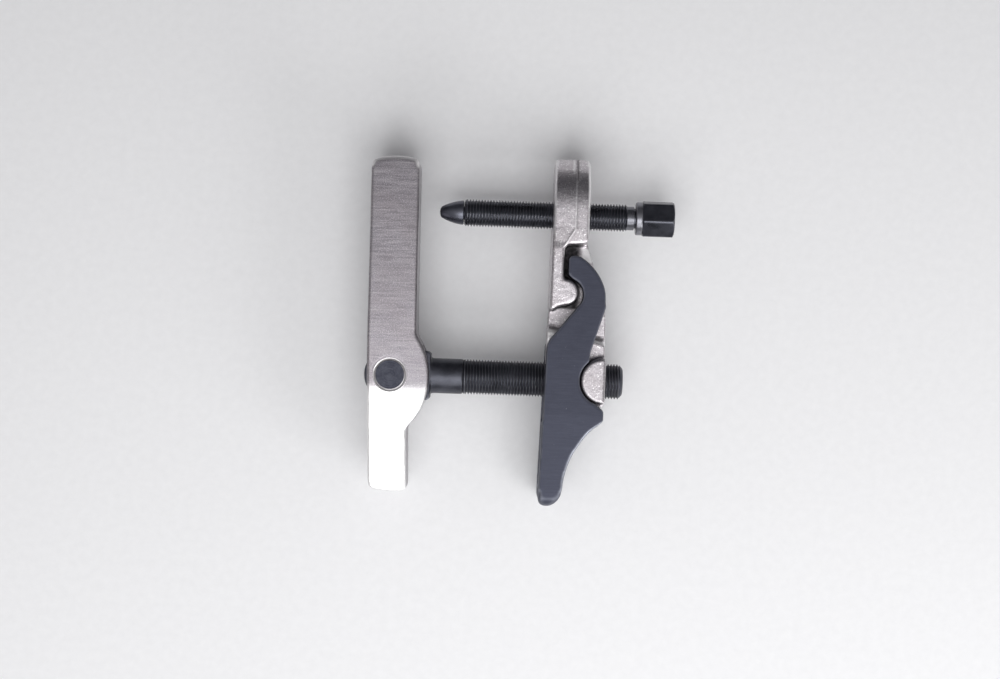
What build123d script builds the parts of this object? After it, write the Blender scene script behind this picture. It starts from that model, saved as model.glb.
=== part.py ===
from build123d import *
import math
import os

# Ball joint separator, lying on its side. Millimetres, +Z up.
# A pressing lever swings on a pin through the eye of a threaded tie rod. The
# rod screws through a spindle carrier, whose forcing spindle pushes the top
# of the lever, so that the lever's tongue presses the ball stud out of the
# eye that the slotted fork holds. The fork hooks on the carrier.
#
# The outlines are given from the pin axis (u, along the rod) and the rod axis
# (v, towards the spindle), and at() puts them in the part's frame.

os.makedirs("parts", exist_ok=True)

# ---------------------------------------------------------------- dimensions
PIN_X = -64.3            # pin axis, X
ROD_Y = -25.15           # tie rod axis, Y
ROD_TO_SPINDLE = 84.0    # centre distance of the two screws
WIDTH = 54.0             # carrier and fork across the side faces
MID_Z = WIDTH / 2        # plane of symmetry

SPINDLE_D = 14.0         # M14 x 1.5
ROD_D = 18.0             # M18 x 1.5
PITCH = 1.5
RUN = 0.05               # radial clearance of a running fit

# spindle carrier
HEAD_R = WIDTH / 2       # round top of the head, seen along the spindle
HEAD_CENTRE_V = 86.7
HEAD_LEFT_U = 80.2
HEAD_RIGHT_U = 98.2
NOSE_U, NOSE_V, NOSE_R = 86.8, 44.5, 6.6
WEB_T = 20.0             # web between the fork's legs
BOSS_T = 25.4            # thicker lower end around the tie rod
BACK_U = 108.6           # flat face behind the fork
LUG_U, LUG_V, LUG_R = 107.7, 0.5, 11.5   # half-round lugs the fork sits on
BOSS_BOTTOM_V = -13.3

# fork
LEG_T = 14.0             # each leg
LEG_GAP = WIDTH - 2 * LEG_T
NOTCH_R = LUG_R + 0.6    # round seat on the lugs
HOOK_U, HOOK_V, HOOK_R = 88.0, 43.4, 8.1 # round hollow that takes the nose
CROTCH_V = -17.0         # top of the plate between the legs
CROTCH_DROP = 5.0        # its fall towards the lever side
TIP_V = -63.4
SLOT_W = 18.0            # jaw opening
SLOT_CENTRE_V = TIP_V + 24.0
SEAT_R = 18.6            # round recess that takes the joint housing
JAW_FLOOR_U = 84.0       # depth of the recess
TIP_TAPER = 2.0          # each side face, ledge to tip

# tie rod
EYE_R = 13.5
EYE_T = 18.0
EYE_END_U = 20.3
EYE_HALF_H = 12.5
THREAD_START_U = 37.3
ROD_END_U = 118.4

# pressing lever
LEVER_T = 32.0
FORK_SLOT_T = EYE_T + 0.6
PIN_D = 16.0
TONGUE_V = -6.0          # from here down the side faces draw in
TONGUE_SLOPE = 2.2       # degrees, each side

# spindle
TIP_END_U = 22.1
TIP_BACK_U = 34.4
SPINDLE_START_U = 34.7
NECK_U = 118.0
GROOVE_U = 121.6
COLLAR_U = 122.3
HEX_U = 125.7
SPINDLE_END_U = 142.1
HEX_AF = 17.0
HEX_TURN = 41.0          # corner from the +Y side, round the screw
STUB_R = 3.4             # journal that turns in the thrust tip


def at(u, v):
    return (PIN_X + u, ROD_Y + v)


def spin(u, r):
    # a point of a turned profile: u along the screw, r from its axis
    return (PIN_X + u, r)


SPINDLE_Y = ROD_Y + ROD_TO_SPINDLE
SPINDLE_PLANE = Plane(origin=(0, SPINDLE_Y, MID_Z), x_dir=(1, 0, 0), z_dir=(0, 0, 1))
ROD_PLANE = Plane(origin=(0, ROD_Y, MID_Z), x_dir=(1, 0, 0), z_dir=(0, 0, 1))
SPINDLE_AXIS = Axis((0, SPINDLE_Y, MID_Z), (1, 0, 0))
ROD_AXIS = Axis((0, ROD_Y, MID_Z), (1, 0, 0))

# ----------------------------------------------------------- spindle carrier
with BuildPart() as spindle_carrier:
    # head, rib and nose bar, over the full width
    with BuildSketch(Plane.XY):
        with BuildLine():
            nose_top = at(NOSE_U, NOSE_V + NOSE_R)
            nose_tip = at(NOSE_U + NOSE_R, NOSE_V)
            nose_low = at(NOSE_U, NOSE_V - NOSE_R)
            Polyline(
                nose_top,
                at(86.0, 52.4),
                at(86.0, 66.2),
                at(87.6, 68.2),
                at(95.8, 68.7),
                at(HEAD_RIGHT_U - 0.5, 70.2),
                at(HEAD_RIGHT_U, 73.0),
                at(HEAD_RIGHT_U, 118.0),
                at(HEAD_LEFT_U, 118.0),
                at(79.4, 36.0),
                at(80.9, 35.2),
                at(83.2, 36.9),
                nose_low,
            )
            ThreePointArc(nose_low, nose_tip, nose_top)
        make_face()
    extrude(amount=WIDTH)
    # round top of the head
    with BuildSketch(Plane.YZ.offset(PIN_X + 70)):
        with Locations((ROD_Y + HEAD_CENTRE_V, MID_Z)):
            Circle(HEAD_R)
        with Locations((ROD_Y + HEAD_CENTRE_V - 60, MID_Z)):
            Rectangle(120, WIDTH)
    extrude(amount=40, mode=Mode.INTERSECT)
    # web between the fork's legs
    with BuildSketch(Plane.XY.offset(MID_Z - WEB_T / 2)):
        with BuildLine():
            Polyline(
                at(82, 70),
                at(97.8, 70),
                at(100.9, 60.7),
                at(104.8, 46.0),
                at(108.0, 35.5),
                at(BACK_U, 31.5),
                at(BACK_U, BOSS_BOTTOM_V + 1),
                at(80.0, BOSS_BOTTOM_V + 1),
                at(78.8, -10.0),
                at(78.8, 26.0),
                at(79.4, 36.0),
                close=True,
            )
        make_face()
    extrude(amount=WEB_T)
    # thicker lower end around the tie rod
    with BuildSketch(Plane.XY.offset(MID_Z - BOSS_T / 2)):
        with BuildLine():
            Polyline(
                at(78.8, 26.8),
                at(82.3, 25.9),
                at(103.3, 21.1),
                at(BACK_U, 19.9),
                at(BACK_U, BOSS_BOTTOM_V + 1.2),
                at(BACK_U - 1.4, BOSS_BOTTOM_V),
                at(80.8, BOSS_BOTTOM_V),
                at(78.8, BOSS_BOTTOM_V + 2.0),
                close=True,
            )
        make_face()
    extrude(amount=BOSS_T)
    # half-round lugs, one on each side face
    with BuildSketch(Plane.XY):
        with Locations(at(LUG_U, LUG_V)):
            Circle(LUG_R)
        with Locations(at(BACK_U + 10, LUG_V)):
            Rectangle(20, 40, mode=Mode.SUBTRACT)
    extrude(amount=WIDTH)
    lug_rims = spindle_carrier.edges().filter_by(Plane.XY).filter_by(
        lambda e: (abs(e.center().Z) < 0.01 or abs(e.center().Z - WIDTH) < 0.01)
        and e.center().Y < ROD_Y + 15
    )
    chamfer(lug_rims, 0.9)
    # rims of the head, rib and nose on the side faces
    rims = spindle_carrier.edges().filter_by(
        lambda e: (abs(e.center().Z) < 0.01 or abs(e.center().Z - WIDTH) < 0.01)
        and ROD_Y + 30 < e.center().Y < ROD_Y + 87
        and e.length > 1.0
        and not (abs(e.center().Y - (ROD_Y + HEAD_CENTRE_V)) < 0.5)
    )
    chamfer(rims, 0.9)
    # screw holes
    with BuildSketch(Plane.YZ.offset(PIN_X + 70)):
        with Locations((SPINDLE_Y, MID_Z)):
            Circle(SPINDLE_D / 2 + RUN)
    extrude(amount=50, mode=Mode.SUBTRACT)
    with BuildSketch(Plane.YZ.offset(PIN_X + 70)):
        with Locations((ROD_Y, MID_Z)):
            Circle(ROD_D / 2 + RUN)
    extrude(amount=50, mode=Mode.SUBTRACT)
spindle_carrier.part.label = "spindle_carrier"
export_step(spindle_carrier.part, "parts/spindle_carrier.step")

# ----------------------------------------------------------------------- fork
with BuildPart() as fork:
    with BuildSketch(Plane.XY):
        with BuildLine():
            # notch on the lugs: from the upper mouth round to the horn
            a0, a1 = math.radians(128), math.radians(248)
            am = (a0 + a1) / 2
            n0 = at(LUG_U + NOTCH_R * math.cos(a0), LUG_V + NOTCH_R * math.sin(a0))
            nm = at(LUG_U + NOTCH_R * math.cos(am), LUG_V + NOTCH_R * math.sin(am))
            n1 = at(LUG_U + NOTCH_R * math.cos(a1), LUG_V + NOTCH_R * math.sin(a1))
            # hollow that takes the nose
            h0, h1 = math.radians(-36), math.radians(69)
            hm = (h0 + h1) / 2
            k0 = at(HOOK_U + HOOK_R * math.cos(h0), HOOK_V + HOOK_R * math.sin(h0))
            km = at(HOOK_U + HOOK_R * math.cos(hm), HOOK_V + HOOK_R * math.sin(hm))
            k1 = at(HOOK_U + HOOK_R * math.cos(h1), HOOK_V + HOOK_R * math.sin(h1))
            ThreePointArc(k0, km, k1)
            Polyline(k1, at(88.9, 52.6), at(88.2, 53.4), at(88.2, 61.4), at(89.2, 62.7))
            Spline(
                at(89.2, 62.7),
                at(93.0, 62.7),
                at(98.6, 59.1),
                at(102.4, 55.0),
                at(105.3, 50.2),
                at(107.1, 44.6),
                at(107.5, 38.6),
                at(106.4, 33.4),
                tangents=((1.0, 0.25), (-5.8, -18.8)),
            )
            Polyline(at(106.4, 33.4), at(100.6, 14.6), n0)
            ThreePointArc(n0, nm, n1)
            Polyline(
                n1,
                at(107.6, -13.9),
                at(108.1, -15.2),
                at(108.1, -19.4),
                at(106.9, -20.9),
            )
            Spline(
                at(106.9, -20.9),
                at(101.7, -25.1),
                at(96.9, -31.1),
                at(93.4, -37.0),
                at(90.9, -43.2),
                at(89.4, -49.4),
                at(88.7, -55.2),
                at(87.5, -59.3),
                at(84.6, -62.2),
                at(80.0, TIP_V),
                tangents=((-5.2, -4.0), (-1.0, 0.0)),
            )
            Polyline(
                at(80.0, TIP_V),
                at(77.7, TIP_V + 0.7),
                at(76.7, TIP_V + 2.4),
                at(78.7, 17.4),
                at(79.9, 20.4),
                k0,
            )
        make_face()
    extrude(amount=WIDTH)
    # side faces: straight along the legs, drawn in towards the tip
    with BuildSketch(Plane.YZ.offset(PIN_X + 60)):
        with BuildLine():
            Polyline(
                (ROD_Y + 70, 0),
                (ROD_Y - 17, 0),
                (ROD_Y + TIP_V + 4, TIP_TAPER - 0.2),
                (ROD_Y + TIP_V + 1, TIP_TAPER + 1.2),
                (ROD_Y + TIP_V - 1, TIP_TAPER + 4.0),
                (ROD_Y + TIP_V - 1, WIDTH - TIP_TAPER - 4.0),
                (ROD_Y + TIP_V + 1, WIDTH - TIP_TAPER - 1.2),
                (ROD_Y + TIP_V + 4, WIDTH - TIP_TAPER + 0.2),
                (ROD_Y - 17, WIDTH),
                (ROD_Y + 70, WIDTH),
                close=True,
            )
        make_face()
    extrude(amount=70, mode=Mode.INTERSECT)
    # gap between the legs, its floor falling towards the lever side
    with BuildSketch(Plane.XY.offset(LEG_T)):
        with BuildLine():
            Polyline(
                at(LUG_U + 4, CROTCH_V + 0.7),
                at(LUG_U + 4, 75),
                at(70, 75),
                at(70, CROTCH_V - CROTCH_DROP - 1.3),
                close=True,
            )
        make_face()
    extrude(amount=LEG_GAP, mode=Mode.SUBTRACT)
    # jaw: straight slot with a round end
    with BuildSketch(Plane.YZ.offset(PIN_X + 60)):
        with Locations((ROD_Y + SLOT_CENTRE_V, MID_Z)):
            Circle(SLOT_W / 2)
        with Locations((ROD_Y + SLOT_CENTRE_V - 20, MID_Z)):
            Rectangle(40, SLOT_W)
    extrude(amount=70, mode=Mode.SUBTRACT)
    # round recess around the jaw, carried on to the tip
    SEAT_PLANE = Plane(
        origin=(0, ROD_Y + SLOT_CENTRE_V, MID_Z), x_dir=(1, 0, 0), z_dir=(0, 1, 0)
    )
    with BuildSketch(SEAT_PLANE) as seat_half:
        with BuildLine():
            ThreePointArc(
                spin(JAW_FLOOR_U, 8.6), spin(JAW_FLOOR_U + 3.4, 15.2), spin(JAW_FLOOR_U + 12, SEAT_R)
            )
            Polyline(
                spin(JAW_FLOOR_U + 12, SEAT_R),
                spin(120, SEAT_R),
                spin(120, 0),
                spin(JAW_FLOOR_U, 0),
                spin(JAW_FLOOR_U, 8.6),
            )
        make_face()
    revolve(
        axis=Axis((0, ROD_Y + SLOT_CENTRE_V, MID_Z), (1, 0, 0)), mode=Mode.SUBTRACT
    )
    with BuildSketch(SEAT_PLANE):
        add(seat_half.sketch_local)
        add(mirror(seat_half.sketch_local, about=Plane.XZ, mode=Mode.PRIVATE))
    extrude(amount=-40, mode=Mode.SUBTRACT)
fork.part.label = "fork"
export_step(fork.part, "parts/fork.step")

# -------------------------------------------------------------------- tie rod
with BuildPart() as tie_rod:
    with BuildSketch(ROD_PLANE):
        with BuildLine():
            Polyline(
                spin(14.0, 0),
                spin(14.0, ROD_D / 2),
                spin(ROD_END_U - 2.2, ROD_D / 2),
                spin(ROD_END_U - 0.5, ROD_D / 2 - 1.7),
                spin(ROD_END_U, ROD_D / 2 - 2.6),
                spin(ROD_END_U, 0),
                close=True,
            )
        make_face()
    revolve(axis=ROD_AXIS)
    # eye, flat on both sides
    with BuildSketch(Plane.XY.offset(MID_Z - EYE_T / 2)):
        with BuildLine():
            ThreePointArc(at(0, -EYE_R), at(-EYE_R, 0), at(0, EYE_R))
            Polyline(
                at(0, EYE_R),
                at(EYE_END_U - 1.2, EYE_HALF_H),
                at(EYE_END_U, EYE_HALF_H - 1.2),
                at(EYE_END_U, -EYE_HALF_H + 1.2),
                at(EYE_END_U - 1.2, -EYE_HALF_H),
                at(0, -EYE_R),
            )
        make_face()
    extrude(amount=EYE_T)
    with BuildSketch(Plane.XY):
        with Locations(at(0, 0)):
            Circle(PIN_D / 2 + RUN)
    extrude(amount=WIDTH, mode=Mode.SUBTRACT)
tie_rod.part.label = "tie_rod"
export_step(tie_rod.part, "parts/tie_rod.step")

# ------------------------------------------------------------- pressing lever
with BuildPart() as pressing_lever:
    with BuildSketch(Plane.XY.offset(MID_Z - LEVER_T / 2)):
        with BuildLine():
            ThreePointArc(at(14.2, 18.6), at(19.8, -0.6), at(10.3, -25.2))
            ThreePointArc(at(10.3, -25.2), at(9.3, -26.7), at(9.1, -28.4))
            Polyline(
                at(9.1, -28.4),
                at(10.1, -56.4),
                at(9.5, -58.2),
                at(7.4, -59.0),
                at(-0.4, -58.9),
                at(-7.4, -58.0),
                at(-9.0, -56.7),
                at(-9.6, -54.0),
                at(-12.1, 12.0),
                at(-12.8, 106.6),
                at(-11.8, 108.9),
            )
            ThreePointArc(at(-11.8, 108.9), at(0.3, 110.9), at(10.4, 109.6))
            Polyline(
                at(10.4, 109.6),
                at(11.5, 107.8),
                at(12.4, 38.0),
                at(12.7, 23.6),
            )
            ThreePointArc(at(12.7, 23.6), at(13.0, 20.9), at(14.2, 18.6))
        make_face()
    extrude(amount=LEVER_T)
    lever_rims = pressing_lever.edges().filter_by(
        lambda e: abs(abs(e.center().Z - MID_Z) - LEVER_T / 2) < 0.01
    )
    chamfer(lever_rims, 0.7)
    # side faces of the tongue, a little thinner towards its end
    slope = math.tan(math.radians(TONGUE_SLOPE))
    draw_in = (TONGUE_V + 62.0) * slope
    with BuildSketch(Plane.YZ.offset(PIN_X - 30)):
        with BuildLine():
            Polyline(
                (ROD_Y + 120, MID_Z - LEVER_T / 2 - 1),
                (ROD_Y + TONGUE_V + 1 / slope, MID_Z - LEVER_T / 2 - 1),
                (ROD_Y - 62, MID_Z - LEVER_T / 2 + draw_in),
                (ROD_Y - 62, MID_Z + LEVER_T / 2 - draw_in),
                (ROD_Y + TONGUE_V + 1 / slope, MID_Z + LEVER_T / 2 + 1),
                (ROD_Y + 120, MID_Z + LEVER_T / 2 + 1),
                close=True,
            )
        make_face()
    extrude(amount=60, mode=Mode.INTERSECT)
    # slot that takes the eye and lets the rod swing
    with BuildSketch(Plane.XY.offset(MID_Z - FORK_SLOT_T / 2)):
        with BuildLine():
            Polyline(at(-30, -19.5), at(30, -19.5), at(30, 15.5), at(-30, 15.5), close=True)
        make_face()
    extrude(amount=FORK_SLOT_T, mode=Mode.SUBTRACT)
    # pin bore, countersunk at both side faces
    with BuildSketch(Plane.XY):
        with Locations(at(0, 0)):
            Circle(PIN_D / 2)
    extrude(amount=WIDTH, mode=Mode.SUBTRACT)
    bore_rims = pressing_lever.edges().filter_by(GeomType.CIRCLE).filter_by(
        lambda e: abs(abs(e.center().Z - MID_Z) - LEVER_T / 2) < 0.01
        and abs(e.radius - PIN_D / 2) < 0.01
    )
    chamfer(bore_rims, 0.6)
pressing_lever.part.label = "pressing_lever"
export_step(pressing_lever.part, "parts/pressing_lever.step")

# ------------------------------------------------------------------ pivot pin
with BuildPart() as pivot_pin:
    with BuildSketch(Plane.XY.offset(MID_Z - LEVER_T / 2)):
        with Locations(at(0, 0)):
            Circle(PIN_D / 2)
    extrude(amount=LEVER_T)
    chamfer(pivot_pin.edges().filter_by(GeomType.CIRCLE), 1.0)
pivot_pin.part.label = "pivot_pin"
export_step(pivot_pin.part, "parts/pivot_pin.step")

# -------------------------------------------------------------------- spindle
with BuildPart() as spindle:
    r = SPINDLE_D / 2
    with BuildSketch(SPINDLE_PLANE):
        with BuildLine():
            Polyline(
                spin(30.6, 0),
                spin(30.6, STUB_R - 0.3),
                spin(30.9, STUB_R),
                spin(32.0, STUB_R),
                spin(32.0, STUB_R - 0.4),
                spin(33.0, STUB_R - 0.4),
                spin(33.0, STUB_R),
                spin(SPINDLE_START_U, STUB_R),
                spin(SPINDLE_START_U, r - 1.0),
                spin(SPINDLE_START_U + 1.0, r),
                spin(NECK_U - 0.9, r),
                spin(NECK_U, r - 0.9),
                spin(GROOVE_U, r - 0.9),
                spin(GROOVE_U, r - 1.9),
                spin(COLLAR_U, r - 1.9),
                spin(COLLAR_U, HEX_AF / 2 - 0.6),
                spin(COLLAR_U + 0.6, HEX_AF / 2),
                spin(HEX_U, HEX_AF / 2),
                spin(HEX_U, 0),
                close=True,
            )
        make_face()
    revolve(axis=SPINDLE_AXIS)
    with BuildSketch(Plane.YZ.offset(PIN_X + HEX_U)):
        with Locations((SPINDLE_Y, MID_Z)):
            RegularPolygon(HEX_AF / 2, 6, major_radius=False, rotation=HEX_TURN)
    extrude(amount=SPINDLE_END_U - HEX_U)
    # both ends of the hexagon are turned to a 30 degree chamfer
    with BuildSketch(SPINDLE_PLANE):
        with BuildLine():
            R = HEX_AF / 2 / math.cos(math.pi / 6)
            t = (R - HEX_AF / 2) * math.tan(math.radians(30))
            Polyline(
                spin(20, 0),
                spin(20, HEX_AF / 2 + 0.05),
                spin(HEX_U + 0.05, HEX_AF / 2 + 0.05),
                spin(HEX_U + 0.05 + t, R + 0.1),
                spin(SPINDLE_END_U - t - 0.3, R + 0.1),
                spin(SPINDLE_END_U, HEX_AF / 2 - 0.6),
                spin(SPINDLE_END_U, 0),
                close=True,
            )
        make_face()
    revolve(axis=SPINDLE_AXIS, mode=Mode.INTERSECT)
spindle.part.label = "spindle"
export_step(spindle.part, "parts/spindle.step")

# ----------------------------------------------------------------- thrust tip
BALL_R = 2.2
BALL_U = 28.3
with BuildPart() as thrust_tip:
    with BuildSketch(SPINDLE_PLANE):
        with BuildLine():
            Polyline(
                spin(BALL_U - BALL_R - 0.05, 0),
                spin(TIP_END_U, 0),
                spin(TIP_END_U, 1.9),
                spin(TIP_END_U + 0.9, 2.9),
            )
            Spline(
                spin(TIP_END_U + 0.9, 2.9),
                spin(TIP_END_U + 4.0, 4.4),
                spin(TIP_END_U + 8.0, 5.7),
                spin(TIP_BACK_U - 0.6, 6.25),
            )
            Polyline(
                spin(TIP_BACK_U - 0.6, 6.25),
                spin(TIP_BACK_U, 5.8),
                spin(TIP_BACK_U, STUB_R + 0.08),
                spin(33.0, STUB_R + 0.08),
                spin(33.0, STUB_R + 0.55),
                spin(32.0, STUB_R + 0.55),
                spin(32.0, STUB_R + 0.08),
                spin(BALL_U, STUB_R + 0.08),
                spin(BALL_U - BALL_R - 0.05, 1.1),
                spin(BALL_U - BALL_R - 0.05, 0),
            )
        make_face()
    revolve(axis=SPINDLE_AXIS)
thrust_tip.part.label = "thrust_tip"
export_step(thrust_tip.part, "parts/thrust_tip.step")

# ball that carries the thrust between the spindle's journal and the tip
with BuildPart() as thrust_ball:
    with BuildSketch(SPINDLE_PLANE):
        with BuildLine():
            ThreePointArc(
                spin(BALL_U - BALL_R, 0), spin(BALL_U, BALL_R), spin(BALL_U + BALL_R, 0)
            )
            Line(spin(BALL_U + BALL_R, 0), spin(BALL_U - BALL_R, 0))
        make_face()
    revolve(axis=SPINDLE_AXIS)
thrust_ball.part.label = "thrust_ball"
export_step(thrust_ball.part, "parts/thrust_ball.step")

# sprung wire ring that keeps the tip on the journal
with BuildPart() as tip_retaining_ring:
    with BuildSketch(SPINDLE_PLANE):
        with Locations(spin(32.5, STUB_R + 0.1)):
            Circle(0.4)
    revolve(axis=SPINDLE_AXIS)
tip_retaining_ring.part.label = "tip_retaining_ring"
export_step(tip_retaining_ring.part, "parts/tip_retaining_ring.step")
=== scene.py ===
import math

import bmesh
import bpy
import numpy as np
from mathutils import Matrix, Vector, noise


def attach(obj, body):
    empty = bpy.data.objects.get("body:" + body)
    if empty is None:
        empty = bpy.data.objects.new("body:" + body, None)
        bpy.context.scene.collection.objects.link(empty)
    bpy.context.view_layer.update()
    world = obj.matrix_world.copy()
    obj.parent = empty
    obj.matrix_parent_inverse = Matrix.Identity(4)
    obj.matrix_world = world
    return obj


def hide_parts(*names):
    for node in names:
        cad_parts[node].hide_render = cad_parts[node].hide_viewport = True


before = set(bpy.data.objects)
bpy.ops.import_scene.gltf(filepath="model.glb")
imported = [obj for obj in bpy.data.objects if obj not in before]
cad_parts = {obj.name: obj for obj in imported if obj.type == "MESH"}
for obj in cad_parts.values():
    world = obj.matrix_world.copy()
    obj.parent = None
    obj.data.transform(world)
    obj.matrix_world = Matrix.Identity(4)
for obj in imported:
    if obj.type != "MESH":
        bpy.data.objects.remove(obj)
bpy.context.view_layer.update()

# Lengths below are in millimetres from the pin axis (u) and the rod axis (v),
# and go into the meshes in metres.
MM = 0.001
PIN_X, ROD_Y, MID_Z = -64.3, -25.15, 27.0
SPINDLE_V = 84.0
PITCH = 1.5


def uv(co):
    """Vertex positions in metres as u, v, z in millimetres."""
    return co[:, 0] / MM - PIN_X, co[:, 1] / MM - ROD_Y, co[:, 2] / MM


def smooth01(t):
    t = np.clip(t, 0.0, 1.0)
    return t * t * (3 - 2 * t)


def band(x, a, b, soft):
    """1 between a and b, falling to 0 over soft outside them."""
    return smooth01((x - a + soft) / soft) * smooth01((b + soft - x) / soft)


# ------------------------------------------------------------- mesh utilities
def new_object(name, verts, faces):
    me = bpy.data.meshes.new(name)
    me.from_pydata([tuple(v) for v in verts], [], faces)
    me.validate()
    me.update()
    ob = bpy.data.objects.new(name, me)
    bpy.context.scene.collection.objects.link(ob)
    return ob


def get_co(me):
    co = np.zeros(len(me.vertices) * 3)
    me.vertices.foreach_get("co", co)
    return co.reshape(-1, 3)


def set_co(me, co):
    me.vertices.foreach_set("co", np.ascontiguousarray(co, dtype=np.float64).ravel())
    me.update()


def get_normals(me):
    me.update()
    n = np.zeros(len(me.vertices) * 3)
    me.vertices.foreach_get("normal", n)
    return n.reshape(-1, 3)


def get_edges(me):
    e = np.zeros(len(me.edges) * 2, dtype=np.int64)
    me.edges.foreach_get("vertices", e)
    return e.reshape(-1, 2)


def relax(co, edges, rounds, factor, weight=None):
    n = len(co)
    deg = np.bincount(edges.ravel(), minlength=n)[:, None].clip(1)
    w = factor if weight is None else (factor * weight)[:, None]
    for _ in range(rounds):
        acc = np.zeros_like(co)
        for k in range(3):
            acc[:, k] = np.bincount(edges[:, 0], co[edges[:, 1], k], n) + np.bincount(
                edges[:, 1], co[edges[:, 0], k], n
            )
        co = co + w * (acc / deg - co)
    return co


def relax_scalar(s, edges, rounds):
    n = len(s)
    deg = np.bincount(edges.ravel(), minlength=n).clip(1)
    for _ in range(rounds):
        acc = np.bincount(edges[:, 0], s[edges[:, 1]], n) + np.bincount(
            edges[:, 1], s[edges[:, 0]], n
        )
        s = 0.5 * s + 0.5 * acc / deg
    return s


def store(me, name, values):
    a = me.attributes.get(name) or me.attributes.new(name, "FLOAT", "POINT")
    a.data.foreach_set("value", np.ascontiguousarray(values, dtype=np.float32))


def field(co, size_mm, seed, octaves=1):
    """Smooth noise, about -1 to 1, with features of the given size."""
    s = 1000.0 / size_mm
    out = np.empty(len(co))
    off = Vector((seed * 7.31, seed * 3.17, seed * 5.53))
    if octaves == 1:
        for i, p in enumerate(co):
            out[i] = noise.noise(Vector((p[0] * s, p[1] * s, p[2] * s)) + off)
    else:
        for i, p in enumerate(co):
            out[i] = noise.fractal(
                Vector((p[0] * s, p[1] * s, p[2] * s)) + off, 0.7, 2.0, octaves
            )
    return out


def shade(ob, angle=None):
    me = ob.data
    me.polygons.foreach_set("use_smooth", [True] * len(me.polygons))
    if angle is not None:
        me.set_sharp_from_angle(angle=math.radians(angle))
    me.update()


def remeshed(node, name, voxel_mm, cut_u=None, before=None):
    """A closed, even mesh of a CAD solid; before changes its points first."""
    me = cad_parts[node].data.copy()
    me.name = name
    bm = bmesh.new()
    bm.from_mesh(me)
    bmesh.ops.remove_doubles(bm, verts=bm.verts, dist=2e-6)
    if cut_u is not None:
        r = bmesh.ops.bisect_plane(
            bm,
            geom=bm.verts[:] + bm.edges[:] + bm.faces[:],
            plane_co=((PIN_X + cut_u) * MM, 0, 0),
            plane_no=(1, 0, 0),
            clear_outer=True,
        )
        bmesh.ops.holes_fill(bm, edges=[e for e in bm.edges if e.is_boundary], sides=0)
    bmesh.ops.recalc_face_normals(bm, faces=bm.faces)
    bm.to_mesh(me)
    bm.free()
    if before is not None:
        set_co(me, before(get_co(me)))
    me.materials.clear()
    for a in [a.name for a in me.attributes if a.name not in ("position",)]:
        at = me.attributes.get(a)
        if at is not None and not at.is_internal and not at.is_required:
            try:
                me.attributes.remove(at)
            except RuntimeError:
                pass
    ob = bpy.data.objects.new(name, me)
    bpy.context.scene.collection.objects.link(ob)
    mod = ob.modifiers.new("even", "REMESH")
    mod.mode = "VOXEL"
    mod.voxel_size = voxel_mm * MM
    mod.adaptivity = 0.0
    dg = bpy.context.evaluated_depsgraph_get()
    out = bpy.data.meshes.new_from_object(ob.evaluated_get(dg))
    out.name = name
    ob.modifiers.clear()
    ob.data = out
    bpy.data.meshes.remove(me)
    return ob


def keep_bore(co, u_axis, centre, radius, reach):
    """Pushes vertices of a round hole back out to its radius.
    u_axis True: the hole runs along X at v=centre; False: along Z at the pin."""
    u, v, z = uv(co)
    if u_axis:
        a, b = v - centre, z - MID_Z
    else:
        a, b = u, v
    r = np.hypot(a, b)
    inside = (r < radius) & (r > radius - reach)
    k = np.where(inside, radius / np.maximum(r, 1e-6), 1.0)
    out = co.copy()
    if u_axis:
        out[:, 1] = (ROD_Y + centre + a * k) * MM
        out[:, 2] = (MID_Z + b * k) * MM
    else:
        out[:, 0] = (PIN_X + a * k) * MM
        out[:, 1] = (ROD_Y + b * k) * MM
    return out


def turned(name, rings, n, axis_v, radius_at=None, theta0=0.0):
    """A closed turned piece along X: rings are (u, r); radius_at(u, r, theta)
    changes the radius round each ring. r = 0 at an end makes a point."""
    th = theta0 + np.arange(n) * (2 * math.pi / n)
    verts, faces, rows = [], [], []
    for u, r in rings:
        if r <= 1e-9:
            rows.append([len(verts)])
            verts.append(((PIN_X + u) * MM, (ROD_Y + axis_v) * MM, MID_Z * MM))
            continue
        rr = np.full(n, r) if radius_at is None else radius_at(u, r, th)
        start = len(verts)
        for t, q in zip(th, rr):
            verts.append(
                (
                    (PIN_X + u) * MM,
                    (ROD_Y + axis_v + q * math.cos(t)) * MM,
                    (MID_Z + q * math.sin(t)) * MM,
                )
            )
        rows.append(list(range(start, start + n)))
    for a, b in zip(rows, rows[1:]):
        if len(a) == 1 and len(b) == 1:
            continue
        for i in range(n):
            j = (i + 1) % n
            if len(a) == 1:
                faces.append((a[0], b[j], b[i]))
            elif len(b) == 1:
                faces.append((a[i], a[j], b[0]))
            else:
                faces.append((a[i], a[j], b[j], b[i]))
    ob = new_object(name, verts, faces)
    bm = bmesh.new()
    bm.from_mesh(ob.data)
    bmesh.ops.recalc_face_normals(bm, faces=bm.faces)
    bm.to_mesh(ob.data)
    bm.free()
    return ob


def profile_radius(points, u):
    us = [p[0] for p in points]
    rs = [p[1] for p in points]
    return float(np.interp(u, us, rs))


def thread_depth(u, th, start, end, depth, left_in=1.6, right_out=1.6):
    """Depth cut below the crest at u, for every angle, of a right-hand screw."""
    ph = (u - PITCH * th / (2 * math.pi)) / PITCH
    ph = ph - np.floor(ph)
    tri = np.abs(ph - 0.5) * 2          # 0 at the root's middle, 1 at the crest's
    cut = np.clip((0.86 - tri) / 0.62, 0, 1)
    cut = cut + 0.06 * np.sin(np.pi * cut)
    fade = smooth01((u - start) / left_in) * smooth01((end - u) / right_out)
    return depth * cut * fade


# ------------------------------------------------------------ node materials
def mat(name):
    m = bpy.data.materials.new(name)
    m.use_nodes = True
    nt = m.node_tree
    nt.nodes.clear()
    out = nt.nodes.new("ShaderNodeOutputMaterial")
    bs = nt.nodes.new("ShaderNodeBsdfPrincipled")
    nt.links.new(bs.outputs[0], out.inputs[0])
    return m, nt, bs


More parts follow.
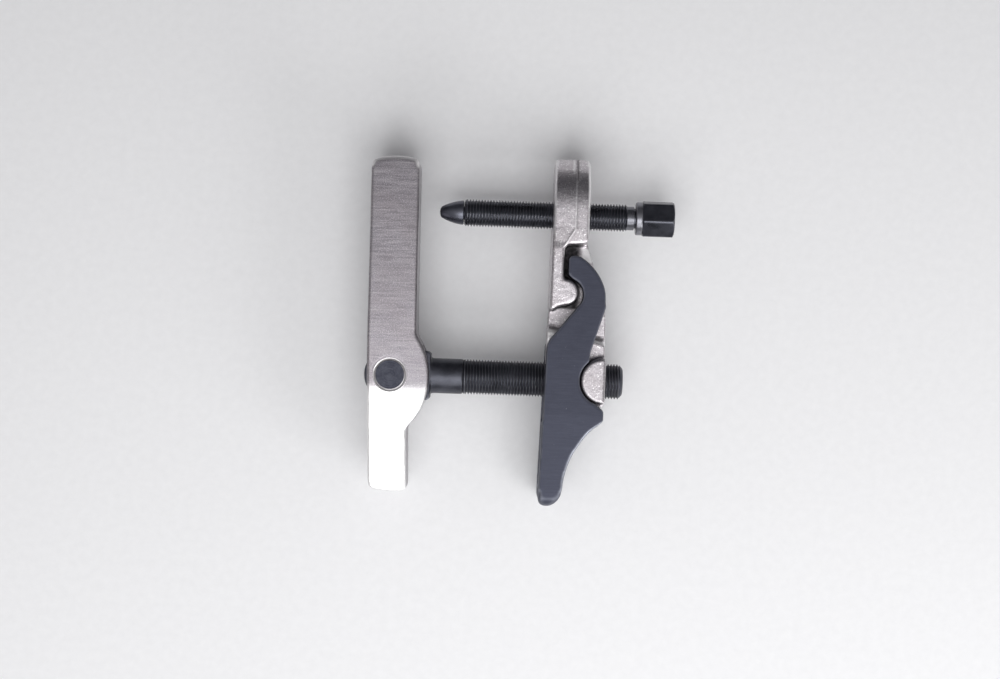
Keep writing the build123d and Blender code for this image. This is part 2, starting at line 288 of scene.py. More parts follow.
def node(nt, kind, **kw):
    n = nt.nodes.new(kind)
    for k, v in kw.items():
        setattr(n, k, v)
    return n


def coords(nt, scale=(1, 1, 1), location=(0, 0, 0), rotation=(0, 0, 0)):
    tc = node(nt, "ShaderNodeTexCoord")
    mp = node(nt, "ShaderNodeMapping")
    mp.inputs["Scale"].default_value = scale
    mp.inputs["Location"].default_value = location
    mp.inputs["Rotation"].default_value = rotation
    nt.links.new(tc.outputs["Object"], mp.inputs["Vector"])
    return mp.outputs["Vector"]


def noise_tex(nt, vec, scale, detail=2.0, rough=0.5, distortion=0.0):
    n = node(nt, "ShaderNodeTexNoise")
    n.inputs["Scale"].default_value = scale
    n.inputs["Detail"].default_value = detail
    n.inputs["Roughness"].default_value = rough
    n.inputs["Distortion"].default_value = distortion
    nt.links.new(vec, n.inputs["Vector"])
    return n.outputs["Fac"]


def voronoi(nt, vec, scale, rand=1.0, feature="F1"):
    n = node(nt, "ShaderNodeTexVoronoi", feature=feature)
    n.inputs["Scale"].default_value = scale
    n.inputs["Randomness"].default_value = rand
    nt.links.new(vec, n.inputs["Vector"])
    return n.outputs["Distance"]


def remap(nt, fac, a, b, c=0.0, d=1.0):
    n = node(nt, "ShaderNodeMapRange", clamp=True)
    n.inputs["From Min"].default_value = a
    n.inputs["From Max"].default_value = b
    n.inputs["To Min"].default_value = c
    n.inputs["To Max"].default_value = d
    nt.links.new(fac, n.inputs["Value"])
    return n.outputs["Result"]


def math_node(nt, op, a, b=None):
    n = node(nt, "ShaderNodeMath", operation=op)
    for i, x in enumerate((a, b)):
        if x is None:
            continue
        if isinstance(x, (int, float)):
            n.inputs[i].default_value = x
        else:
            nt.links.new(x, n.inputs[i])
    return n.outputs[0]


def mix_col(nt, fac, a, b, blend="MIX"):
    n = node(nt, "ShaderNodeMix", data_type="RGBA", blend_type=blend)
    if isinstance(fac, (int, float)):
        n.inputs[0].default_value = fac
    else:
        nt.links.new(fac, n.inputs[0])
    for idx, x in ((6, a), (7, b)):
        if isinstance(x, tuple):
            n.inputs[idx].default_value = (*x, 1.0) if len(x) == 3 else x
        else:
            nt.links.new(x, n.inputs[idx])
    return n.outputs[2]


def attribute(nt, name):
    n = node(nt, "ShaderNodeAttribute", attribute_name=name)
    return n.outputs["Fac"]


def bump(nt, height, strength, dist_mm, chain=None):
    n = node(nt, "ShaderNodeBump")
    n.inputs["Strength"].default_value = strength
    n.inputs["Distance"].default_value = dist_mm * MM
    nt.links.new(height, n.inputs["Height"])
    if chain is not None:
        nt.links.new(chain, n.inputs["Normal"])
    return n.outputs["Normal"]


def plated_forging():
    m, nt, bs = mat("nickel_forging")
    L = nt.links.new
    v = coords(nt)
    grain = noise_tex(nt, v, 1700, 3.0, 0.65)
    peel = noise_tex(nt, v, 480, 2.0, 0.5)
    cloud = noise_tex(nt, v, 55, 3.0, 0.6)
    pits = voronoi(nt, v, 1100)
    spark = noise_tex(nt, v, 1150, 1.0, 0.4)
    # rubbed edges, and highlights painted on rims and glints, lighten the colour below
    wear_and_highlight_fac = attribute(nt, "wear_and_highlight")
    shade_and_dark_tone = attribute(nt, "shade_and_dark_tone")
    tone = mix_col(nt, remap(nt, grain, 0.34, 0.66), (0.385, 0.362, 0.385), (0.695, 0.660, 0.690))
    tone = mix_col(nt, remap(nt, cloud, 0.35, 0.7, 0.0, 0.28), tone, (0.54, 0.48, 0.49))
    tone = mix_col(nt, remap(nt, pits, 0.02, 0.20, 0.38, 0.0), tone, (0.22, 0.205, 0.22))
    tone = mix_col(nt, remap(nt, spark, 0.62, 0.70, 0.0, 0.85), tone, (1.0, 0.99, 0.99))
    tone = mix_col(nt, remap(nt, wear_and_highlight_fac, 0.15, 0.8, 0.0, 0.85), tone, (0.97, 0.96, 0.965))
    # painted shade, with the darkened lugs and groove line, darkens and roughens the colour here
    tone = mix_col(nt, math_node(nt, "MULTIPLY", shade_and_dark_tone, remap(nt, peel, 0.3, 0.6, 0.80, 1.0)), tone, (0.045, 0.042, 0.045))
    L(tone, bs.inputs["Base Color"])
    L(remap(nt, wear_and_highlight_fac, 0.25, 0.9, 1.0, 0.5), bs.inputs["Metallic"])
    r = remap(nt, grain, 0.3, 0.7, 0.30, 0.44)
    r = math_node(nt, "SUBTRACT", r, remap(nt, spark, 0.62, 0.70, 0.0, 0.08))
    r = math_node(nt, "ADD", r, remap(nt, shade_and_dark_tone, 0.0, 1.0, 0.0, 0.25))
    L(r, bs.inputs["Roughness"])
    n1 = bump(nt, peel, 0.32, 0.20)
    n2 = bump(nt, grain, 0.55, 0.09, n1)
    L(n2, bs.inputs["Normal"])
    return m


def plated_lever():
    m, nt, bs = mat("nickel_lever")
    L = nt.links.new
    v = coords(nt)
    across = coords(nt, scale=(0.06, 1.0, 0.25))
    lines = noise_tex(nt, across, 1150, 3.0, 0.62)
    fine = noise_tex(nt, across, 4200, 2.0, 0.6)
    grain = noise_tex(nt, v, 1700, 3.0, 0.65)
    cloud = noise_tex(nt, v, 60, 4.0, 0.6)
    # rubbed edges, and highlights painted on rims and round the pin hole, lighten the colour below
    wear_and_highlight_fac = attribute(nt, "wear_and_highlight")
    tone = mix_col(nt, remap(nt, lines, 0.34, 0.66), (0.222, 0.208, 0.230), (0.328, 0.308, 0.330))
    tone = mix_col(nt, remap(nt, lines, 0.67, 0.75, 0.0, 0.45), tone, (0.66, 0.64, 0.65))
    tone = mix_col(nt, remap(nt, grain, 0.49, 0.65, 0.0, 0.75), tone, (0.505, 0.477, 0.503))
    tone = mix_col(nt, remap(nt, cloud, 0.38, 0.68, 0.0, 0.22), tone, (0.30, 0.26, 0.27))
    tone = mix_col(nt, remap(nt, wear_and_highlight_fac, 0.15, 0.8, 0.0, 0.8), tone, (0.90, 0.885, 0.89))
    # painted highlight on the tongue's flat faces, near white
    tone = mix_col(nt, attribute(nt, "tongue_highlight"), tone, (0.97, 0.965, 0.96))
    L(tone, bs.inputs["Base Color"])
    L(remap(nt, wear_and_highlight_fac, 0.25, 0.9, 1.0, 0.55), bs.inputs["Metallic"])
    r = remap(nt, lines, 0.3, 0.7, 0.28, 0.38)
    L(r, bs.inputs["Roughness"])
    n1 = bump(nt, lines, 0.20, 0.02)
    n2 = bump(nt, fine, 0.30, 0.02, n1)
    n3 = bump(nt, grain, 0.60, 0.08, n2)
    L(n3, bs.inputs["Normal"])
    return m


def phosphated():
    m, nt, bs = mat("phosphated_fork")
    L = nt.links.new
    v = coords(nt)
    along = coords(nt, scale=(0.07, 1.0, 0.4), rotation=(0, 0, math.radians(-4)))
    lines = noise_tex(nt, along, 1300, 3.0, 0.7)
    grain = noise_tex(nt, v, 2100, 3.0, 0.7)
    cloud = noise_tex(nt, v, 60, 4.0, 0.6)
    specks = noise_tex(nt, v, 900, 1.0, 0.4)
    # rubbed edges, and painted highlight along the rounded rims, lighten the colour below
    wear_and_highlight_fac = attribute(nt, "wear_and_highlight")
    tone = mix_col(nt, remap(nt, cloud, 0.3, 0.72), (0.046, 0.049, 0.069), (0.064, 0.068, 0.094))
    tone = mix_col(nt, remap(nt, lines, 0.42, 0.70, 0.0, 0.22), tone, (0.095, 0.100, 0.135))
    tone = mix_col(nt, remap(nt, grain, 0.60, 0.76, 0.0, 0.35), tone, (0.13, 0.135, 0.17))
    tone = mix_col(nt, remap(nt, specks, 0.80, 0.86, 0.0, 0.5), tone, (0.34, 0.34, 0.38))
    wear_and_highlight = math_node(nt, "MULTIPLY", remap(nt, wear_and_highlight_fac, 0.10, 0.80, 0.0, 1.0), remap(nt, grain, 0.25, 0.6, 0.55, 1.0))
    tone = mix_col(nt, wear_and_highlight, tone, (0.36, 0.375, 0.43))
    L(tone, bs.inputs["Base Color"])
    bs.inputs["Metallic"].default_value = 0.75
    bs.inputs["Specular IOR Level"].default_value = 0.4
    r = remap(nt, cloud, 0.3, 0.7, 0.48, 0.58)
    r = math_node(nt, "SUBTRACT", r, remap(nt, wear_and_highlight_fac, 0.2, 0.9, 0.0, 0.14))
    L(r, bs.inputs["Roughness"])
    n1 = bump(nt, lines, 0.22, 0.03)
    n2 = bump(nt, grain, 0.40, 0.04, n1)
    L(n2, bs.inputs["Normal"])
    return m


def black_oxide(name, dark=(0.042, 0.044, 0.056), light=(0.092, 0.095, 0.116), turned_marks=0.3, rough=(0.25, 0.36)):
    m, nt, bs = mat(name)
    L = nt.links.new
    v = coords(nt)
    rings = coords(nt, scale=(1.0, 0.03, 0.03))
    marks = noise_tex(nt, rings, 2600, 2.0, 0.6)
    grain = noise_tex(nt, v, 1700, 3.0, 0.65)
    cloud = noise_tex(nt, v, 120, 3.0, 0.6)
    # rubbed edges and crests, and painted highlights and glints, lighten the colour below
    wear_and_highlight_fac = attribute(nt, "wear_and_highlight")
    tone = mix_col(nt, remap(nt, cloud, 0.3, 0.7), dark, light)
    tone = mix_col(nt, remap(nt, grain, 0.56, 0.75, 0.0, 0.35), tone, (0.13, 0.13, 0.14))
    tone = mix_col(nt, remap(nt, wear_and_highlight_fac, 0.1, 1.0, 0.0, 0.75), tone, (0.34, 0.34, 0.37))
    L(tone, bs.inputs["Base Color"])
    bs.inputs["Metallic"].default_value = 0.85
    bs.inputs["Specular IOR Level"].default_value = 0.5
    bs.inputs["Coat Weight"].default_value = 0.15
    bs.inputs["Coat Roughness"].default_value = 0.25
    L(remap(nt, cloud, 0.3, 0.7, *rough), bs.inputs["Roughness"])
    n1 = bump(nt, marks, turned_marks, 0.03)
    n2 = bump(nt, grain, 0.35, 0.04, n1)
    L(n2, bs.inputs["Normal"])
    return m


def pin_steel():
    m, nt, bs = mat("pin_face")
    L = nt.links.new
    v = coords(nt)
    mott = noise_tex(nt, v, 330, 4.0, 0.6)
    grain = noise_tex(nt, v, 1700, 2.0, 0.6)
    # painted highlight on the chamfers lightens the colour below
    wear_and_highlight_fac = attribute(nt, "wear_and_highlight")
    tc = coords(nt, location=(-PIN_X * MM, -ROD_Y * MM, 0))
    sep = node(nt, "ShaderNodeSeparateXYZ")
    L(tc, sep.inputs[0])
    rad = math_node(
        nt,
        "SQRT",
        math_node(
            nt,
            "ADD",
            math_node(nt, "MULTIPLY", sep.outputs[0], sep.outputs[0]),
            math_node(nt, "MULTIPLY", sep.outputs[1], sep.outputs[1]),
        ),
    )
    ring = math_node(nt, "SINE", math_node(nt, "MULTIPLY", rad, 2 * math.pi / (0.42 * MM)))
    tone = mix_col(nt, remap(nt, mott, 0.36, 0.66), (0.036, 0.038, 0.052), (0.070, 0.073, 0.092))
    tone = mix_col(nt, remap(nt, grain, 0.58, 0.75, 0.0, 0.4), tone, (0.13, 0.13, 0.15))
    tone = mix_col(nt, wear_and_highlight_fac, tone, (0.62, 0.60, 0.61))
    L(tone, bs.inputs["Base Color"])
    bs.inputs["Metallic"].default_value = 0.9
    L(remap(nt, mott, 0.3, 0.7, 0.36, 0.50), bs.inputs["Roughness"])
    n1 = bump(nt, ring, 0.2, 0.01)
    n2 = bump(nt, mott, 0.5, 0.08, n1)
    L(n2, bs.inputs["Normal"])
    return m


def bearing_steel():
    m, nt, bs = mat("bearing_steel")
    L = nt.links.new
    v = coords(nt)
    cloud = noise_tex(nt, v, 900, 3.0, 0.6)
    L(mix_col(nt, remap(nt, cloud, 0.3, 0.7), (0.50, 0.50, 0.52), (0.64, 0.64, 0.66)), bs.inputs["Base Color"])
    bs.inputs["Metallic"].default_value = 1.0
    L(remap(nt, cloud, 0.3, 0.7, 0.12, 0.24), bs.inputs["Roughness"])
    L(bump(nt, cloud, 0.2, 0.01), bs.inputs["Normal"])
    return m


M_FORGING = plated_forging()
M_LEVER = plated_lever()
M_FORK = phosphated()
M_SCREW = black_oxide("black_oxide_screw")
M_ROD = black_oxide("black_oxide_rod", rough=(0.38, 0.50))
# the nose's black oxide is painted lighter, standing in for a stronger sheen
M_NOSE_LIGHTENED = black_oxide("black_oxide_nose_lightened", (0.080, 0.083, 0.106), (0.150, 0.154, 0.185), turned_marks=0.12, rough=(0.26, 0.36))
M_PIN = pin_steel()
M_BALL = bearing_steel()


def finish_piece(ob, body, nodes, material):
    ob.data.materials.clear()
    ob.data.materials.append(material)
    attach(ob, body)
    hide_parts(*nodes)
    return ob


def edge_mask(before, after, normals, scale_mm):
    """How far the rounding pulled each vertex in: high on outer edges."""
    d = -np.einsum("ij,ij->i", after - before, normals) / MM
    return np.clip(d / scale_mm, 0, 1)


# ------------------------------------------------------------ spindle carrier
carrier = remeshed("spindle_carrier", "carrier_forging", 0.50)
me = carrier.data
edges = get_edges(me)
co0 = get_co(me)
co = relax(co0, edges, 5, 0.6)
u, v, z = uv(co0)
outer = np.maximum(smooth01((81.5 - u) / 1.5), smooth01((u - 96.4) / 1.4)) * smooth01((v - 71.5) / 3.0)
outer = np.maximum(outer, smooth01((v - 108.5) / 2.0))
outer = np.where((np.hypot(v - SPINDLE_V, z - MID_Z) < 9.0), 0.0, outer)
co = relax(co, edges, 12, 0.6, outer)
# the forged step between web and boss runs out in a soft slope
step_v = np.interp(u, [78.8, 82.3, 103.3, 108.6], [26.8, 25.9, 21.1, 19.9])
mid = np.abs(z - MID_Z)
on_step = band(v - step_v, -1.2, 1.2, 1.2) * band(mid, 9.8, 12.9, 0.6)
co = relax(co, edges, 24, 0.6, on_step)
n = get_normals(me)
wear_and_highlight = edge_mask(co0, co, n, 0.34)
u, v, z = uv(co)
head = smooth01((v - 66.0) / 4.0)
side = np.where(z > MID_Z, 1.0, -1.0)
# parting line on both side faces, with a little draft to each side of it
line_u = np.interp(v, [60.0, 68.5, 76.0, 120.0], [80.0, 86.4, 90.9, 90.9])
gap = np.abs(u - line_u) * np.interp(v, [68.0, 76.0, 77.0], [0.78, 0.78, 1.0])
ridge = np.exp(-((gap / 0.40) ** 2))
far = np.clip(gap / 9.0, 0, 1)
top = v > 86.7
out_r = np.where(top, np.hypot(v - 86.7, z - MID_Z), np.abs(z - MID_Z))
radial = np.clip((out_r - 24.0) / 2.0, 0, 1)
flash = smooth01((v - 106.0) / 3.0)
# over the top the line ends in a trimmed groove
groove = np.exp(-(((u - 91.5) / 0.5) ** 2)) * smooth01((v - 98.0) / 5.0)
sink = head * radial * (0.36 + 0.30 * far + 0.16 * flash - (0.30 + 0.22 * flash) * ridge + 0.50 * groove)
away = np.zeros_like(co)
away[:, 1] = np.where(top, (v - 86.7) / 27.0, 0.0)
away[:, 2] = np.where(top, (z - MID_Z) / 27.0, side)
co = co - away * (sink * MM)[:, None]
skin = 0.035 * field(co, 5.5, 1.0, 3) + 0.022 * field(co, 1.7, 2.0)
bore = (np.hypot(v - SPINDLE_V, z - MID_Z) > 7.8) & (np.hypot(v, z - MID_Z) > 9.8)
co = co + n * ((skin - 0.06) * np.where(bore, 1.0, 0.0) * MM)[:, None]
co = keep_bore(co, True, SPINDLE_V, 7.06, 1.2)
co = keep_bore(co, True, 0.0, 9.06, 1.2)
set_co(me, co)
# painted shade in the hollow behind the fork's hook and on the web faces beside the fork; the lugs' outer faces and
# a line in the parting groove are darkened too
deep = band(np.abs(z - MID_Z), 0.0, 16.5, 5.0)
hollow = band(u, 84.0, 92.5, 3.5) * band(v, 37.0, 69.0, 1.5) * deep
lugs = 0.24 * band(v, -14.0, 14.0, 1.0) * smooth01((np.abs(z - MID_Z) - 24.0) / 1.5)
web = 0.22 * band(v, 22.0, 36.5, 1.5) * band(u, 70.0, 93.0, 3.0) * deep
seam = 0.85 * groove * head * radial
seam = np.maximum(seam, 0.30 * np.exp(-(((u - line_u - 1.1) / 0.5) ** 2)) * head * radial)
shade_and_dark_tone = relax_scalar(np.maximum(np.maximum(hollow, lugs), web), edges, 2)
store(me, "shade_and_dark_tone", np.maximum(shade_and_dark_tone, relax_scalar(seam, edges, 1)))
mid = np.abs(z - MID_Z)
# painted highlights: a glint along the parting line and a line over the top, a patch on the web beside the hook, a
# wedge on the boss's side face and a sheen on the forged step
painted_highlight = 0.55 * np.exp(-((gap / 0.50) ** 2)) * head * radial * smooth01((103.0 - v) / 4.0)
painted_highlight = np.maximum(painted_highlight, 0.7 * np.exp(-(((u - 89.7) / 0.5) ** 2)) * smooth01((v - 103.0) / 4.0) * radial)
painted_highlight = np.maximum(painted_highlight, 0.75 * band(u, 95.5, 101.0, 1.0) * band(v, 60.5, 66.8, 1.0) * band(mid, 9.0, 10.6, 0.5))
painted_highlight = np.maximum(painted_highlight, 0.70 * band(u, 78.0, 86.0, 2.0) * band(v, 18.0, 25.5, 1.5) * band(mid, 10.8, 13.2, 0.5))
painted_highlight = np.maximum(painted_highlight, 0.35 * on_step)
store(me, "wear_and_highlight", relax_scalar(np.maximum(wear_and_highlight, painted_highlight), edges, 1))
shade(carrier)
finish_piece(carrier, "carrier", ["spindle_carrier"], M_FORGING)

# ----------------------------------------------------------------------- fork
fork = remeshed("fork", "fork_forging", 0.48)
me = fork.data
edges = get_edges(me)
co0 = get_co(me)
co = relax(co0, edges, 4, 0.6)
u, v, z = uv(co0)
# the forged back curve and the tip are rounder than the milled edges
curve_u = np.interp(v, [-63.0, -55.0, -49.4, -43.2, -37.0, -31.1, -25.1, -20.9], [84.0, 88.7, 89.4, 90.9, 93.4, 96.9, 101.7, 106.9])
back = smooth01((u - curve_u + 2.6) / 1.2) * smooth01((-19.0 - v) / 3.0)
tip_zone = smooth01((-54.0 - v) / 3.0)
co = relax(co, edges, 12, 0.6, np.maximum(back, tip_zone))
co = relax(co, edges, 30, 0.6, tip_zone)
n = get_normals(me)
wear_and_highlight = edge_mask(co0, co, n, 0.34)
wear_and_highlight = wear_and_highlight * (1 - 0.65 * tip_zone)
skin = 0.02 * field(co, 6.0, 3.0, 2)
co = co + n * ((skin - 0.03) * MM)[:, None]
set_co(me, co)
store(me, "wear_and_highlight", relax_scalar(wear_and_highlight, edges, 1))
shade(fork)
finish_piece(fork, "fork", ["fork"], M_FORK)

# ------------------------------------------------------------- pressing lever
TONGUE_V = -6.0
TONGUE_FALL = math.tan(math.radians(2.2))


def tongue_scale(co):
    """How much thinner the lever is at each point than above the tongue."""
    v = co[:, 1] / MM - ROD_Y
    return 1 - np.clip(TONGUE_V - v, 0, None) * TONGUE_FALL / 16.0


def tongue_straight(co):
    co = co.copy()
    co[:, 2] = MID_Z * MM + (co[:, 2] - MID_Z * MM) / tongue_scale(co)
    return co


# meshed with the tongue's faces straight, so that its rims run true, and
# drawn in again when the rims have been rounded
lever = remeshed("pressing_lever", "lever_forging", 0.52, before=tongue_straight)
me = lever.data
edges = get_edges(me)
co0 = get_co(me)
co = relax(co0, edges, 3, 0.6)
u, v, z = uv(co0)
co = relax(co, edges, 12, 0.6, smooth01((v - 104.0) / 2.0))
co = relax(co, edges, 6, 0.6, smooth01((-4.0 - v) / 4.0) * smooth01((np.hypot(u, v) - 9.0) / 1.0))
n = get_normals(me)
wear_and_highlight = edge_mask(co0, co, n, 0.30)
u, v, z = uv(co)
skin = 0.02 * field(co, 5.0, 4.0, 2)
pinhole = np.hypot(u, v) > 9.2
co = co + n * ((skin - 0.025) * np.where(pinhole, 1.0, 0.0) * MM)[:, None]
co = keep_bore(co, False, 0.0, 8.01, 1.0)
co[:, 2] = MID_Z * MM + (co[:, 2] - MID_Z * MM) * tongue_scale(co)
set_co(me, co)
store(me, "wear_and_highlight", relax_scalar(wear_and_highlight, edges, 1))
# narrow bevel round the pin hole on both side faces, on a finer mesh
bm = bmesh.new()
bm.from_mesh(me)


def by_hole(p):
    r = math.hypot(p.co.x / MM - PIN_X, p.co.y / MM - ROD_Y)
    return r < 9.5 and abs(p.co.z / MM - MID_Z) > 14.4


fine = [e for e in bm.edges if by_hole(e.verts[0]) and by_hole(e.verts[1])]
bmesh.ops.subdivide_edges(bm, edges=fine, cuts=2, use_grid_fill=True)
bmesh.ops.triangulate(bm, faces=[f for f in bm.faces if len(f.verts) > 4])
bm.to_mesh(me)
bm.free()
wear_and_highlight = np.zeros(len(me.vertices), dtype=np.float32)
me.attributes["wear_and_highlight"].data.foreach_get("value", wear_and_highlight)
co = get_co(me)
u, v, z = uv(co)
r = np.hypot(u, v)
side = np.where(z > MID_Z, 1.0, -1.0)
mid = np.abs(z - MID_Z)
wall = (r <= 8.06) & (mid > 14.0)
lip = (r < 9.0) & (mid > 15.0) & ~wall
r2 = np.where(wall, 8.02, np.where(lip & (r < 8.70), 8.03 + (r - 8.06) * 0.67 / 0.64, r))
co[:, 0] = (PIN_X + u * r2 / r) * MM
co[:, 1] = (ROD_Y + v * r2 / r) * MM
top = 15.97 * tongue_scale(co)
fall = np.clip((8.55 - r2) * 0.62, 0, 0.33)
up = np.where(mid > 14.9, 14.9 + (mid - 14.9) * (top - 0.35 - 14.9) / 1.09, mid)
mid = np.where(wall, up, np.where(lip, top - fall, mid))
co[:, 2] = (MID_Z + side * mid) * MM
set_co(me, co)
bm = bmesh.new()
bm.from_mesh(me)
bmesh.ops.remove_doubles(bm, verts=bm.verts, dist=2e-6)
bmesh.ops.dissolve_degenerate(bm, dist=1e-6, edges=bm.edges)
bmesh.ops.triangulate(bm, faces=[f for f in bm.faces if len(f.verts) > 4])
bm.to_mesh(me)
bm.free()
wear_and_highlight = np.zeros(len(me.vertices), dtype=np.float32)
me.attributes["wear_and_highlight"].data.foreach_get("value", wear_and_highlight)
co = get_co(me)
u, v, z = uv(co)
r = np.hypot(u, v)
mid = np.abs(z - MID_Z)
# painted highlight on the bevel round the pin hole
ring = smooth01((8.62 - r) / 0.12)
wear_and_highlight = np.where((r < 9.0) & (mid > 15.2), 0.8 * ring, wear_and_highlight)
store(me, "wear_and_highlight", wear_and_highlight)
n = get_normals(me)
u, v, z = uv(co)
# painted highlight: the flat faces of the tongue below the pin lighter towards its tip
flat = smooth01((np.abs(n[:, 2]) - 0.04) / 0.25)
soft = np.interp(u, [-12, 6, 18], [9.0, 11.0, 16.0])
start = np.interp(u, [-12, 6, 18], [-2.6, -2.4, -1.0])
tongue_highlight = smooth01((start - v) / soft) * flat
store(me, "tongue_highlight", tongue_highlight * 0.95)
shade(lever)
finish_piece(lever, "lever", ["pressing_lever"], M_LEVER)

# ------------------------------------------------------------------ pivot pin
prof = [(10.99 + 0.0, 0.0)]
for r in np.arange(0.35, 7.1, 0.35):
    prof.append((11.0 + 0.03 + 0.02 * math.sin(r * 5.1), r))
prof += [(11.02, 7.22), (11.06, 7.32), (11.24, 7.62), (11.42, 7.90), (11.56, 7.97), (12.3, 8.0)]
prof += [(zz, 8.0) for zz in np.linspace(13.0, 41.0, 15)]
prof += [(54 - a, b) for a, b in [(12.3, 8.0), (11.56, 7.97), (11.42, 7.90), (11.24, 7.62), (11.06, 7.32), (11.02, 7.22)]]
for r in np.arange(0.35, 7.1, 0.35)[::-1]:
    prof.append((43.0 - 0.03 - 0.02 * math.sin(r * 5.1), r))
prof += [(43.0 - 0.02, 0.0)]
N = 96
verts, faces, rows = [], [], []
for k, (zz, r) in enumerate(prof):
    if r == 0.0:
        rows.append([len(verts)])
        verts.append((PIN_X * MM, ROD_Y * MM, zz * MM))
        continue
    rows.append(list(range(len(verts), len(verts) + N)))
    for i in range(N):
        t = 2 * math.pi * i / N
        dz = 0.0
        if r < 6.9:
            dz = 0.05 * noise.noise(Vector((math.cos(t) * r * 0.55, math.sin(t) * r * 0.55, zz)))
            dz = -abs(dz) if zz > MID_Z else abs(dz)
        verts.append(((PIN_X + r * math.cos(t)) * MM, (ROD_Y + r * math.sin(t)) * MM, (zz + dz) * MM))
for a, b in zip(rows, rows[1:]):
    for i in range(N):
        j = (i + 1) % N
        if len(a) == 1:
            faces.append((a[0], b[j], b[i]))
        elif len(b) == 1:
            faces.append((a[i], a[j], b[0]))
        else:
            faces.append((a[i], a[j], b[j], b[i]))
pin = new_object("pivot_pin_turned", verts, faces)
co = get_co(pin.data)
u, v, z = uv(co)
r = np.hypot(u, v)
# painted highlight on the chamfers round both end faces
store(pin.data, "wear_and_highlight", np.where((r > 7.28) & (r < 7.95) & (np.abs(z - MID_Z) > 15.4), 0.75, 0.0))
shade(pin, 60)
finish_piece(pin, "lever", ["pivot_pin"], M_PIN)

# -------------------------------------------------------------------- tie rod
eye = remeshed("tie_rod", "rod_eye", 0.45, cut_u=36.9)
me = eye.data
edges = get_edges(me)
co0 = get_co(me)
co = relax(co0, edges, 8, 0.6)
n = get_normals(me)
wear_and_highlight = edge_mask(co0, co, n, 0.30)
u, v, z = uv(co)
# the shank keeps its turned radius
r = np.hypot(v, z - MID_Z)
shank = (u > 24.0) & (u < 36.0) & (r > 7.5)
k = np.where(shank, 8.97 / r, 1.0)
co[:, 1] = (ROD_Y + v * k) * MM
co[:, 2] = (MID_Z + (z - MID_Z) * k) * MM
co = keep_bore(co, False, 0.0, 8.05, 1.0)
set_co(me, co)
# painted glint on the lower corner of the eye block; its other rims only faintly lighter
painted_glint = band(u, 18.8, 21.0, 0.6) * band(v, -13.2, -9.6, 0.8) * smooth01((z - MID_Z - 7.2) / 0.8)
store(me, "wear_and_highlight", np.maximum(relax_scalar(wear_and_highlight, edges, 1) * 0.3, 1.3 * painted_glint * wear_and_highlight))
shade(eye)
finish_piece(eye, "rod", ["tie_rod"], M_ROD)

ROD_N = 120
START, END = 37.0, 118.4
rings = [(34.5, 0.0), (34.5, 7.6), (36.4, 7.8)]
body = [(36.9, 8.35), (37.6, 9.0), (116.2, 9.0), (117.9, 7.3), (118.4, 6.4)]
for uu in np.arange(36.9, 118.31, 0.15):
    rings.append((float(uu), profile_radius(body, uu)))
rings += [(118.4, 6.4), (118.4, 3.2), (118.4, 0.0)]


def rod_radius(u, r, th):
    if u < 36.95 or u > 118.35:
        return np.full(len(th), r)
    d = thread_depth(u, th, 37.0, 119.5, 0.92)
    return np.minimum(r, 8.985 - d)


rod = turned("rod_thread", rings, ROD_N, 0.0, rod_radius)
co = get_co(rod.data)
u, v, z = uv(co)
crest = np.clip((np.hypot(v, z - MID_Z) - 8.72) / 0.26, 0, 1) * band(u, 37.5, 117.5, 1.0)
# painted glints on some crests along one side
painted_glint = smooth01((field(co, 2.6, 8.0) - 0.28) / 0.2) * band(v, -4.6, -1.2, 1.2) * (z > MID_Z)
painted_glint = painted_glint * band(u, 60.0, 84.0, 6.0)
store(rod.data, "wear_and_highlight", np.clip(0.55 * crest + 1.6 * painted_glint * crest, 0, 1))
shade(rod, 62)
finish_piece(rod, "rod", ["tie_rod"], M_ROD)

# -------------------------------------------------------------------- spindle
SP_N = 120
HEX_AF = 17.0
HEX_TURN = math.radians(41)
R_HEX = HEX_AF / 2 / math.cos(math.pi / 6)
body = [(34.7, 6.0), (35.7, 7.0), (117.1, 7.0), (118.0, 6.1), (121.5, 6.1), (121.65, 5.1),
        (122.25, 5.1), (122.35, 7.9), (122.5, 8.25), (122.9, 8.48), (125.2, 8.48), (125.7, 8.3)]
rings = [(30.6, 0.0), (30.6, 1.6), (30.6, 3.1), (30.9, 3.4), (32.0, 3.4), (32.0, 3.0),
         (33.0, 3.0), (33.0, 3.4), (34.7, 3.4), (34.7, 5.0)]
for uu in np.arange(34.7, 118.05, 0.15):
    rings.append((float(uu), profile_radius(body, uu)))
for uu in [118.4, 119.0, 119.8, 120.6, 121.2, 121.45, 121.55, 121.65, 121.95, 122.25, 122.3, 122.4,
           122.55, 122.75, 122.95, 123.5, 124.2, 124.8, 125.2, 125.45, 125.6]:
    rings.append((uu, profile_radius(body, uu)))
# the hexagon, both ends turned to a 30 degree chamfer
t30 = (R_HEX - HEX_AF / 2) * math.tan(math.radians(30))
hexa = [(125.7, 8.52), (125.7 + t30, R_HEX + 0.1), (142.1 - t30 - 0.3, R_HEX + 0.1), (142.1, 7.9)]
for uu in [125.72, 125.9, 126.1, 126.3, 126.5, 126.7, 126.95, 127.3, 127.8, 128.6, 130, 132, 134, 136,
           138, 139.4, 140.2, 140.6, 140.85, 141.05, 141.25, 141.45, 141.65, 141.85, 142.0, 142.07]:
    rings.append((uu, profile_radius(hexa, uu)))
rings += [(142.1, 7.75), (142.1, 7.0), (142.1, 5.4), (142.05, 5.0), (142.05, 3.0), (142.05, 0.0)]


def hex_r(th, rc=0.45):
    # distance to the hexagon's side with its corners slightly rounded
    a = np.mod(th - HEX_TURN, math.pi / 3)
    a = np.minimum(a, math.pi / 3 - a)           # 0 at a corner
    straight = (HEX_AF / 2 - 0.01) / np.cos(math.pi / 6 - a)
    return np.minimum(straight, R_HEX - 0.22)


